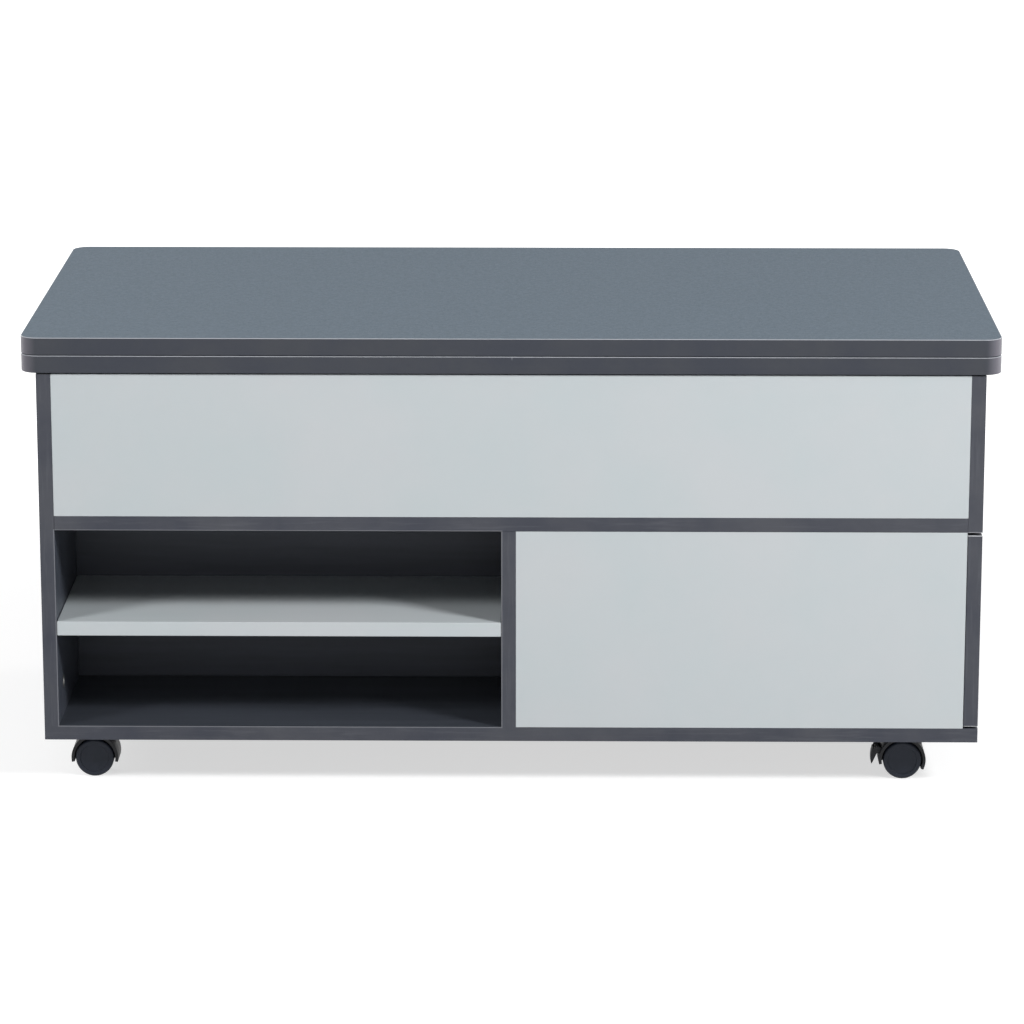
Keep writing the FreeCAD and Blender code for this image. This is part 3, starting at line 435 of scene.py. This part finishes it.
def dress(obj, finish):
    """Gives an object one finish all over."""
    obj.data.materials.clear()
    obj.data.materials.append(FINISHES[finish])


for finish, names in NODE_FINISH.items():
    for name in names:
        dress(nodes[name], finish)

# Arrises: how far apart points may be that are one, the least angle that is rounded, steps and widths
WELD = 0.01 * MM
ARRIS_ANGLE = math.radians(40)
ARRIS_STEPS = 2
BOARD_ARRIS = 0.6 * MM
PLASTIC_ARRIS = 0.5 * MM
STEEL_ARRIS = 0.25 * MM
ARRISES = {
    "light": BOARD_ARRIS,
    "dark_level": BOARD_ARRIS,
    "dark_side": BOARD_ARRIS,
    "dark_across": BOARD_ARRIS,
    "dark_post": BOARD_ARRIS,
    "dark_end": BOARD_ARRIS,
    "hood": PLASTIC_ARRIS,
    "wheel": PLASTIC_ARRIS,
    "coat": STEEL_ARRIS,
}


def soften(obj, width):
    """Rounds a node's sharp arrises for the look alone."""
    weld = obj.modifiers.new("weld", "WELD")
    weld.merge_threshold = WELD
    bevel = obj.modifiers.new("arris", "BEVEL")
    bevel.width = width
    bevel.segments = ARRIS_STEPS
    bevel.limit_method = "ANGLE"
    bevel.angle_limit = ARRIS_ANGLE
    bevel.use_clamp_overlap = True
    bevel.harden_normals = True


for finish, width in ARRISES.items():
    for name in NODE_FINISH[finish]:
        soften(nodes[name], width)


def solids_of(name):
    """The points of each separate solid in a node."""
    mesh = bmesh.new()
    mesh.from_mesh(nodes[name].data)
    bmesh.ops.remove_doubles(mesh, verts=mesh.verts, dist=WELD)
    mesh.verts.index_update()
    seen = set()
    groups = []
    for first in mesh.verts:
        if first.index in seen:
            continue
        seen.add(first.index)
        queue = [first]
        group = []
        while queue:
            point = queue.pop()
            group.append(point.co.copy())
            for edge in point.link_edges:
                other = edge.other_vert(point)
                if other.index not in seen:
                    seen.add(other.index)
                    queue.append(other)
        groups.append(group)
    mesh.free()
    return groups


AXES = range(3)
UP = Vector((0, 0, 1))


def corners(points):
    """Lowest and highest corner of some points."""
    low = Vector(min(point[axis] for point in points) for axis in AXES)
    high = Vector(max(point[axis] for point in points) for axis in AXES)
    return low, high


def facing_place(seat, way, turn=0.0):
    """A place at the seat whose upright axis points along the way, turned about that axis."""
    tilt = UP.rotation_difference(way).to_matrix().to_4x4()
    return Matrix.Translation(seat) @ tilt @ Matrix.Rotation(turn, 4, "Z")


LATHE_STEPS = 32


def lathe(mesh, profile, place):
    """Turns radii and heights about the upright axis of a place, and gives back the last ring."""
    rings = []
    for radius, height in profile:
        if radius == 0:
            rings.append([mesh.verts.new(place @ Vector((0, 0, height)))] * LATHE_STEPS)
            continue
        ring = []
        for step in range(LATHE_STEPS):
            turn = math.tau * step / LATHE_STEPS
            point = Vector((radius * math.cos(turn), radius * math.sin(turn), height))
            ring.append(mesh.verts.new(place @ point))
        rings.append(ring)
    for lower, upper in zip(rings, rings[1:]):
        for step in range(LATHE_STEPS):
            after = (step + 1) % LATHE_STEPS
            around = [lower[step], lower[after], upper[after], upper[step]]
            mesh.faces.new(list(dict.fromkeys(around)))
    return rings[-1]


def add_object(name, data):
    """Puts a new object into the scene."""
    obj = bpy.data.objects.new(name, data)
    bpy.context.scene.collection.objects.link(obj)
    return obj


# Edges of a smooth piece that bend by more than this look sharp
SHARP_ANGLE = math.radians(35)


def add_piece(name, mesh, finish, body):
    """Makes an object that rides on a body, in place of the node of the same name if there is one."""
    bmesh.ops.recalc_face_normals(mesh, faces=mesh.faces)
    title = name + "_piece"
    data = bpy.data.meshes.new(title)
    mesh.to_mesh(data)
    mesh.free()
    data.shade_smooth()
    data.set_sharp_from_angle(angle=SHARP_ANGLE)
    piece = add_object(title, data)
    dress(piece, finish)
    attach(piece, body)
    if name in nodes:
        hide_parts(name)


# Profile of a soft pad: shares of its radius and of its height
PAD_PROFILE = [(0, 0), (0.95, 0), (1, 0.12), (0.99, 0.6), (0.9, 0.88), (0.62, 1), (0, 1)]


def add_pads(name, body):
    """Domed rubber pads with a soft rim, one for each plain pad of the node."""
    mesh = bmesh.new()
    for points in solids_of(name):
        low, high = corners(points)
        radius = (high.x - low.x) / 2
        place = Matrix.Translation(((low.x + high.x) / 2, (low.y + high.y) / 2, low.z))
        lathe(mesh, [(radius * wide, (high.z - low.z) * up) for wide, up in PAD_PROFILE], place)
    add_piece(name, mesh, "rubber", body)


add_pads("top_bumpers", "cabinet")
add_pads("leaf_bumpers", "top_carrier")

# Screws: head in shares of its radius and height, tip in shank radii, turn from one to the next
HEAD_PROFILE = [(0.97, 0), (1, 0.2), (0.97, 0.55), (0.87, 0.85), (0.7, 1)]
TIP_LENGTH = 2
SCREW_TURN = 2.4

# Cross recess: shares of the head's radius, share that is left at its floor, share of the head's height
CROSS_REACH = 0.5
CROSS_HALF = 0.13
CROSS_TAPER = 0.7
CROSS_DEPTH = 0.6


def cross_outline(reach, half):
    """Corner points of a cross, one after the other."""
    points = []
    for along, side in ((1, 0), (0, 1), (-1, 0), (0, -1)):
        arm = Vector((along, side))
        left = Vector((-side, along)) * half
        points += [arm * reach - left, arm * reach + left, arm * half + left]
    return points


def sink(mesh, rim, place, mouth, floor, height, depth):
    """Closes a rim with a flat face at a height, with a recess from the mouth's outline to the floor's."""
    rings = []
    for outline, level in ((mouth, height), (floor, height - depth)):
        rings.append([mesh.verts.new(place @ Vector((*point, level))) for point in outline])
    upper, lower = rings
    loops = []
    for ring in (rim, upper):
        for point, after in zip(ring, ring[1:] + ring[:1]):
            loops.append(mesh.edges.get((point, after)) or mesh.edges.new((point, after)))
    bmesh.ops.triangle_fill(mesh, edges=loops, use_beauty=True)
    for index, point in enumerate(upper):
        after = (index + 1) % len(upper)
        mesh.faces.new((point, upper[after], lower[after], lower[index]))
    mesh.faces.new(lower)


def sink_cross(mesh, rim, place, radius, height, depth):
    """Closes a screw head's rim with a flat face that has a tapered cross recess."""
    mouth = cross_outline(CROSS_REACH * radius, CROSS_HALF * radius)
    floor = [point * CROSS_TAPER for point in mouth]
    sink(mesh, rim, place, mouth, floor, height, depth)


def add_screw(mesh, points, turn):
    """A pan-head screw with a cross recess, where the plain screw of the node is."""
    low, high = corners(points)
    middle = (low + high) / 2
    axis = max(AXES, key=lambda index: high[index] - low[index])
    across = [index for index in AXES if index != axis]

    def reach(point):
        """How far a point is from the screw's axis."""
        return math.hypot(*(point[index] - middle[index] for index in across))

    head_radius = max(map(reach, points))
    shank_radius = min(map(reach, points))
    head = [point[axis] for point in points if reach(point) > (head_radius + shank_radius) / 2]
    head_height = max(head) - min(head)
    faces_up = max(head) > high[axis] - head_height / 2
    seat = middle.copy()
    seat[axis] = min(head) if faces_up else max(head)
    way = Vector((0, 0, 0))
    way[axis] = 1 if faces_up else -1
    place = facing_place(seat, way, turn)
    length = high[axis] - low[axis] - head_height
    profile = [(0, -length), (shank_radius, TIP_LENGTH * shank_radius - length), (shank_radius, 0)]
    profile += [(head_radius * wide, head_height * up) for wide, up in HEAD_PROFILE]
    rim = lathe(mesh, profile, place)
    sink_cross(mesh, rim, place, head_radius, head_height, CROSS_DEPTH * head_height)


def add_screws(name, body):
    """All screws of a node, each turned further than the one before."""
    mesh = bmesh.new()
    for index, points in enumerate(solids_of(name)):
        add_screw(mesh, points, index * SCREW_TURN)
    add_piece(name, mesh, "screw", body)


add_screws("cabinet_screws", "cabinet")
add_screws("top_screws", "top_carrier")

# Hinge screws: places from a plate's middle and front edge, and how near that edge its level is read
HINGE_SPOTS = ((-20 * MM, 9 * MM), (0, 15 * MM), (20 * MM, 9 * MM))
HINGE_EDGE = 5 * MM

# Heads of the hinge screws: radius, flat share of it, height, depth of the root and of the cross
HINGE_HEAD = 3.6 * MM
HINGE_FLAT = 0.9
HINGE_PROUD = 0.25 * MM
HINGE_ROOT = 0.5 * MM
HINGE_CROSS = 0.2 * MM


def add_hinge_screws(name, plates, body, way):
    """Low-headed screws in the plates of the leaf hinges, which face up or down at rest."""
    mesh = bmesh.new()
    profile = [(0, -HINGE_ROOT), (HINGE_HEAD, -HINGE_ROOT), (HINGE_HEAD, 0),
               (HINGE_FLAT * HINGE_HEAD, HINGE_PROUD)]
    turn = 0
    for points in solids_of(plates):
        low, high = corners(points)
        levels = [point.z for point in points if point.y < low.y + HINGE_EDGE]
        level = max(levels) if way > 0 else min(levels)
        for aside, inward in HINGE_SPOTS:
            seat = Vector(((low.x + high.x) / 2 + aside, low.y + inward, level))
            place = facing_place(seat, way * UP, turn)
            rim = lathe(mesh, profile, place)
            sink_cross(mesh, rim, place, HINGE_HEAD, HINGE_PROUD, HINGE_CROSS)
            turn += SCREW_TURN
    add_piece(name, mesh, "screw", body)


add_hinge_screws("lower_hinge_screws", "lower_hinge_plates", "top_carrier", 1)
add_hinge_screws("upper_hinge_screws", "upper_hinge_plates", "folding_leaf", -1)

# Cam fittings: rounding and width of the rim, and how far the face lies under it
CAM_ROUND = 0.3 * MM
CAM_RIM = 0.6 * MM
CAM_SUNK = 1.0 * MM

# Driver slot: half its length and width in shares of the cam's radius, and its depth
SLOT_REACH = 0.5
SLOT_HALF = 0.11
SLOT_DEPTH = 1.6 * MM


def add_cams():
    """Round cam fittings in the bay walls, each with a rim and a driver slot in its sunk face."""
    mesh = bmesh.new()
    bay_middle = (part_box("left_side_panel")[1].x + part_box("divider_panel")[0].x) / 2
    for points in solids_of("cam_fittings"):
        low, high = corners(points)
        way = 1 if high.x < bay_middle else -1
        seat = (low + high) / 2
        seat.x = high.x if way > 0 else low.x
        place = facing_place(seat, Vector((way, 0, 0)))
        radius = (high.z - low.z) / 2
        depth = high.x - low.x
        profile = [(0, -depth), (radius, -depth), (radius, -CAM_ROUND), (radius - CAM_ROUND, 0),
                   (radius - CAM_RIM, 0), (radius - CAM_RIM, -CAM_SUNK)]
        rim = lathe(mesh, profile, place)
        slot = [Vector((wide * SLOT_HALF * radius, long * SLOT_REACH * radius))
                for wide, long in ((1, -1), (1, 1), (-1, 1), (-1, -1))]
        sink(mesh, rim, place, slot, slot, -CAM_SUNK, SLOT_DEPTH)
    add_piece("cam_fittings", mesh, "nickel", "cabinet")


add_cams()

# Springs: wound as the solids are
SPRING_WIRE = 3 * MM
SPRING_PITCH = 3.6 * MM
SPRING_TURNS = 8
SPRING_TAIL = 3 * MM

# Smooth curve of the springs: its points, its order, and its steps along and round the wire
POINTS_A_TURN = 24
LEG_POINTS = 4
CURVE_ORDER = 4
CURVE_STEPS = 3
WIRE_STEPS = 3


def spring_path(side):
    """Points from the leg's end, round all turns, to the tail of the spring on one side."""
    low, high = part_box("lift_springs")
    outer = (high.z - low.z) / 2
    middle_y = low.y + outer
    middle_z = low.z + outer
    start_x = high.x - SPRING_WIRE / 2
    step = math.tau / POINTS_A_TURN
    # Control points lie outside a smooth curve by this share
    radius = (outer - SPRING_WIRE / 2) * 3 / (2 + math.cos(step))
    leg = high.y - middle_y
    path = []
    for index in range(LEG_POINTS):
        path.append((start_x, middle_y + leg * (1 - index / LEG_POINTS), middle_z + radius))
    for index in range(SPRING_TURNS * POINTS_A_TURN + 1):
        turn = math.pi / 2 + index * step
        path.append((start_x - SPRING_PITCH * index / POINTS_A_TURN,
                     middle_y + radius * math.cos(turn), middle_z + radius * math.sin(turn)))
    path.append((path[-1][0], path[-1][1] - SPRING_TAIL, path[-1][2]))
    return [(side * x, y, z) for x, y, z in path]


def wire_mesh(path):
    """A round wire along a smooth curve."""
    curve = bpy.data.curves.new("wire", "CURVE")
    curve.dimensions = "3D"
    curve.bevel_depth = SPRING_WIRE / 2
    curve.bevel_resolution = WIRE_STEPS
    curve.use_fill_caps = True
    curve.resolution_u = CURVE_STEPS
    spline = curve.splines.new("NURBS")
    spline.points.add(len(path) - 1)
    for point, place in zip(spline.points, path):
        point.co = (*place, 1)
    spline.order_u = CURVE_ORDER
    spline.use_endpoint_u = True
    maker = bpy.data.objects.new("wire", curve)
    data = bpy.data.meshes.new_from_object(maker)
    bpy.data.objects.remove(maker)
    bpy.data.curves.remove(curve)
    return data


def add_springs():
    """Both torsion springs, wound and smooth."""
    mesh = bmesh.new()
    for side in (1, -1):
        wire = wire_mesh(spring_path(side))
        mesh.from_mesh(wire)
        bpy.data.meshes.remove(wire)
    add_piece("lift_springs", mesh, "spring", "lift_front_arms")


add_springs()


def floor_material():
    """Pale matte that keeps a shadow near the object, and glows to white further out."""
    material = bpy.data.materials.new("pale_floor")
    look = Look(material)
    look.tree.nodes.remove(look.tree.nodes["Principled BSDF"])
    matte = look.add("BsdfDiffuse", "BSDF", {"Color": (FLOOR_WHITE, FLOOR_WHITE, FLOOR_WHITE, 1)})
    place = look.add("TexCoord", "Object", {})
    distance = look.add("VectorMath", "Value", {0: place}, operation="LENGTH")
    fade = look.spread(distance, FLOOR_FADE_START, FLOOR_FADE_END, FLOOR_GLOW_NEAR, FLOOR_GLOW_FAR,
                       interpolation_type="SMOOTHSTEP")
    glow = look.add("Emission", "Emission", {"Strength": look.math("MULTIPLY", fade, look.seen_ray())})
    both = look.add("AddShader", "Shader", {0: matte, 1: glow})
    look.feed(look.tree.nodes["Material Output"].inputs["Surface"], both)
    return material


def add_floor():
    """Pale floor under the object."""
    mesh = bpy.data.meshes.new("floor")
    half = FLOOR_SIZE / 2
    outline = [(-half, -half, 0), (half, -half, 0), (half, half, 0), (-half, half, 0)]
    mesh.from_pydata(outline, [], [(0, 1, 2, 3)])
    mesh.materials.append(floor_material())
    floor = add_object("floor", mesh)


def add_world():
    """White surroundings for what is seen, and a plain soft ambient for what is lit."""
    world = bpy.data.worlds.new("studio")
    bpy.context.scene.world = world
    look = Look(world)
    background = look.tree.nodes["Background"].inputs
    background["Color"].default_value = WHITE
    look.feed(background["Strength"], look.spread(look.seen_ray(), 0, 1, AMBIENT, 1))


def add_soft_box(name, place, target, width, height, watts):
    """A rectangular lamp that faces its target."""
    lamp = bpy.data.lights.new(name, "AREA")
    lamp.shape = "RECTANGLE"
    lamp.size = width
    lamp.size_y = height
    lamp.energy = watts
    box = add_object(name, lamp)
    box.location = place
    box.rotation_euler = (Vector(target) - Vector(place)).to_track_quat("-Z", "Y").to_euler()


def add_camera():
    """The photograph's view."""
    data = bpy.data.cameras.new("camera")
    data.lens = CAMERA_LENS
    data.sensor_width = SENSOR_WIDTH
    data.clip_end = SIGHT_END
    camera = add_object("camera", data)
    camera.location = CAMERA_PLACE
    camera.rotation_euler = (math.pi / 2 - CAMERA_PITCH, 0, CAMERA_YAW)
    bpy.context.scene.camera = camera


add_floor()
add_world()
for name, settings in SOFT_BOXES.items():
    add_soft_box(name, *settings)
add_camera()
bpy.context.scene.view_settings.view_transform = "Standard"
